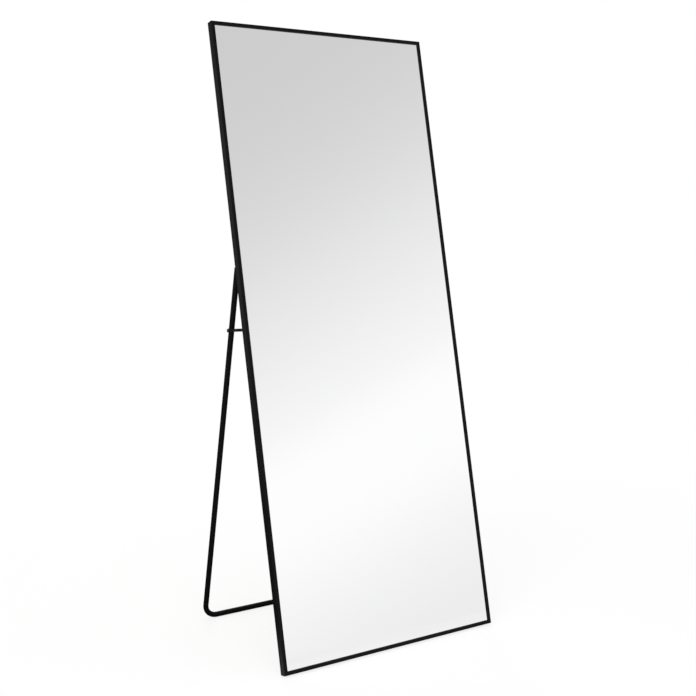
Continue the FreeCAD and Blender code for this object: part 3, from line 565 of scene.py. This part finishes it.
def skin(rings, middle, sign, turn, tube):
    """A closed skin over the rings. What would be under the floor is pressed level with it."""
    shape = bmesh.new()
    loops = []
    for place, radius in rings:
        loop = []
        for step in range(SEGMENTS):
            angle = 2 * math.pi * step / SEGMENTS
            reach = radius(angle) if callable(radius) else radius
            y, z = reach * math.cos(angle + turn), reach * math.sin(angle + turn)
            point = middle + MILLIMETRE * Vector((sign * place, y, z))
            point.z = max(point.z, 0.0)
            loop.append(shape.verts.new(point))
        loops.append(loop)
    for first, second in zip(loops, loops[1:]):
        bridge(shape, first, second)
    if tube:
        bridge(shape, loops[-1], loops[0])
    else:
        shape.faces.new(loops[0])
        shape.faces.new(loops[-1])
    bmesh.ops.recalc_face_normals(shape, faces=shape.faces)
    for face in shape.faces:
        face.smooth = True
    return shape


def turned(name, node, sign, rings, turn, tube):
    """A turned piece with the place, body and slot of the node that it stands for."""
    low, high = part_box(node)
    middle = (low + high) / 2
    if node.startswith("bar_sleeve"):
        middle.z = BAR_HEIGHT
    else:
        middle.x = sign * LEG_SIDE
    piece = made_of(skin(rings, middle, sign, turn, tube), name)
    piece.data.set_sharp_from_angle(angle=SHARP)
    paint(piece, FINISHES[SLOT_OF[node]])
    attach(piece, BODY_OF[node])
    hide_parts(node)


for side, sign in (("left", -1), ("right", 1)):
    for name, node, rings, turn, tube in TURNED:
        turned(f"{name}_{side}", f"{node}_{side}", sign, rings, turn, tube)

# ---------------------------------------------------------------------------------------------------
# The studio
# ---------------------------------------------------------------------------------------------------

FLOOR_RINGS = (0.9, 1.8, 3.2)
FLOOR_SEGMENTS = 96

# How bright gloss sees them, where white is 1: the floor in front of the mirror, the floor and the
# room behind it, and the brighter horizon of that room
IN_FRONT, BEHIND, HORIZON = 0.875, 0.12, 0.7

# The floor goes from the one to the other between these places along y, and its share of plain white
# grows from NEAR_WHITE to 1 between these distances from the middle
FLOOR_FADE = (-0.3, 0.05)
WHITENING = (0.9, 2.6)
NEAR_WHITE = 0.8

# How the room dims from front to back, by how much a direction points along y, and how its horizon
# fades upwards and downwards, by how much a direction points along z
ROOM_FADE = (-0.15, 0.35)
HORIZON_FADE = (0.04, 0.3)

# What faces the mirror is a soft wall of light: brightest a little above the horizon, and greyer
# overhead. GRADIENT is the way in which it changes, and TONES are its grey at each height along that.
GRADIENT = (-0.2487, -0.1678, 1.0)
LOWEST, HIGHEST = -0.1, 0.9
TONES = (
    (-0.09, 0.86),
    (-0.03, 0.83),
    (0.06, 0.945),
    (0.139, 1.04),
    (0.20, 0.945),
    (0.31, 0.79),
    (0.40, 0.665),
    (0.48, 0.625),
    (0.56, 0.615),
    (0.68, 0.75),
    (0.80, 0.95),
)

# what most of the lamps point at, about half-way up the mirror
AIM = (0, 0, 0.8)


def make_floor():
    """A round, level floor, in rings."""
    shape = bmesh.new()
    rings = []
    for radius in FLOOR_RINGS:
        ring = []
        for step in range(FLOOR_SEGMENTS):
            angle = 2 * math.pi * step / FLOOR_SEGMENTS
            ring.append(shape.verts.new((radius * math.cos(angle), radius * math.sin(angle), 0)))
        rings.append(ring)
    shape.faces.new(rings[0])
    for inner, outer in zip(rings, rings[1:]):
        bridge(shape, inner, outer)
    floor = made_of(shape, "floor")
    return floor


def floor_material():
    """Pale matt paint. Its white shows to the camera and in gloss, and the shadow stays on it."""
    finish = Finish("pale_floor", specular_ior_level=0.1, roughness=0.9)
    grain = finish.noise(20 * MILLIMETRE, detail=3.0)
    finish.set(base_color=finish.mixed(grain, *FLOOR_WHITE))
    path = finish.add("ShaderNodeLightPath", {})
    gloss = path.outputs["Is Glossy Ray"]
    seen = finish.largest(path.outputs["Is Camera Ray"], gloss, path.outputs["Is Transmission Ray"])
    behind = finish.ranged(finish.along(finish.place, (0, 1, 0)), *FLOOR_FADE, smooth=True)
    in_gloss = finish.ranged(behind, 0.0, 1.0, IN_FRONT, BEHIND)
    strength = finish.ranged(gloss, 0.0, 1.0, 1.0, in_gloss)
    white = finish.add("ShaderNodeEmission", {"Color": WHITE, "Strength": strength})
    far = finish.add("ShaderNodeVectorMath", {0: finish.place}, operation="LENGTH").outputs["Value"]
    plain = finish.ranged(far, *WHITENING, NEAR_WHITE, 1.0, smooth=True)
    plain = finish.largest(plain, finish.scaled(gloss, behind))
    share = finish.scaled(seen, plain)
    surfaces = {0: share, 1: finish.shader.outputs[0], 2: white.outputs[0]}
    both = finish.add("ShaderNodeMixShader", surfaces)
    finish.put(finish.nodes["Material Output"].inputs["Surface"], both.outputs[0])
    return finish.material


def wall_of_light(sky, direction):
    """The grey of the room in each direction, as TONES give it."""
    height = sky.ranged(sky.along(direction, GRADIENT), LOWEST, HIGHEST)
    ramp = sky.add("ShaderNodeValToRGB", {"Fac": height})
    ramp.color_ramp.interpolation = "B_SPLINE"
    stops = ramp.color_ramp.elements
    while len(stops) < len(TONES):
        stops.new(0.5)
    for stop, (place, tone) in zip(stops, TONES):
        stop.position = (place - LOWEST) / (HIGHEST - LOWEST)
        stop.color = (tone, tone, tone, 1)
    return ramp.outputs["Color"]


def light_world():
    """The room, which lights the object and shows in gloss. The camera sees plain white instead."""
    world = bpy.data.worlds.new("studio")
    bpy.context.scene.world = world
    world.use_nodes = True
    sky = NodeTree(world.node_tree)
    direction = sky.add("ShaderNodeTexCoord", {}).outputs["Generated"]
    off_level = sky.maths("ABSOLUTE", sky.along(direction, (0, 0, 1)))
    room = sky.ranged(off_level, *HORIZON_FADE, HORIZON, BEHIND, smooth=True)
    share = sky.ranged(sky.along(direction, (0, 1, 0)), *ROOM_FADE, 1.0, room, smooth=True)
    sockets = {0: wall_of_light(sky, direction), "Scale": share}
    dimmed = sky.add("ShaderNodeVectorMath", sockets, operation="SCALE").outputs[0]
    path = sky.add("ShaderNodeLightPath", {})
    seen = sky.largest(path.outputs["Is Camera Ray"], path.outputs["Is Transmission Ray"])
    background = sky.nodes["Background"]
    sky.put(background.inputs["Color"], sky.mixed(seen, dimmed, WHITE))
    sky.put(background.inputs["Strength"], 1.0)


def area_lamp(name, place, target, size, watts, in_gloss=True):
    """A softbox that points at the target, and may be left out of gloss."""
    lamp = bpy.data.lights.new(name, "AREA")
    lamp.shape = "RECTANGLE"
    lamp.size, lamp.size_y = size
    lamp.energy = watts
    holder = bpy.data.objects.new(name, lamp)
    holder.location = place
    holder.visible_glossy = in_gloss
    aim = Vector(target) - Vector(place)
    holder.rotation_euler = aim.to_track_quat("-Z", "Y").to_euler()
    bpy.context.scene.collection.objects.link(holder)


paint(make_floor(), floor_material())
light_world()
area_lamp("key_softbox", (-2.6, -1.6, 2.9), AIM, (1.6, 1.6), 40)
area_lamp("overhead_softbox", (0.2, 0.6, 3.4), (0, 0, 0.4), (2.2, 1.8), 30)
area_lamp("front_fill", (-1.2, -4.4, 1.6), AIM, (2.4, 2.4), 70, in_gloss=False)
area_lamp("back_fill", (1.6, 4.2, 1.9), AIM, (2.4, 2.4), 90)

# ---------------------------------------------------------------------------------------------------
# The camera, from a fit of the frame's corners, the stand and the stay to the photograph
# ---------------------------------------------------------------------------------------------------

PHOTO_WIDTH = 696
FOCAL_PIXELS = 1120.24
SENSOR = 36.0
EYE = Vector((-1.77017, -2.72278, 1.22214))
YAW, PITCH, ROLL = 0.5804, -0.1199, -0.0011

heading = Vector((math.sin(YAW), math.cos(YAW), 0))
forward = heading * math.cos(PITCH) + Vector((0, 0, math.sin(PITCH)))
level = Vector((math.cos(YAW), -math.sin(YAW), 0))
right = level * math.cos(ROLL) + level.cross(forward) * math.sin(ROLL)
axes = Matrix((right, right.cross(forward), -forward)).transposed()

camera_data = bpy.data.cameras.new("camera")
camera_data.sensor_width = SENSOR
camera_data.lens = FOCAL_PIXELS / PHOTO_WIDTH * SENSOR
camera_data.clip_start, camera_data.clip_end = 0.05, 60.0
camera = bpy.data.objects.new("camera", camera_data)
camera.matrix_world = Matrix.Translation(EYE) @ axes.to_4x4()
bpy.context.scene.collection.objects.link(camera)
bpy.context.scene.camera = camera
bpy.context.scene.view_settings.view_transform = "Standard"
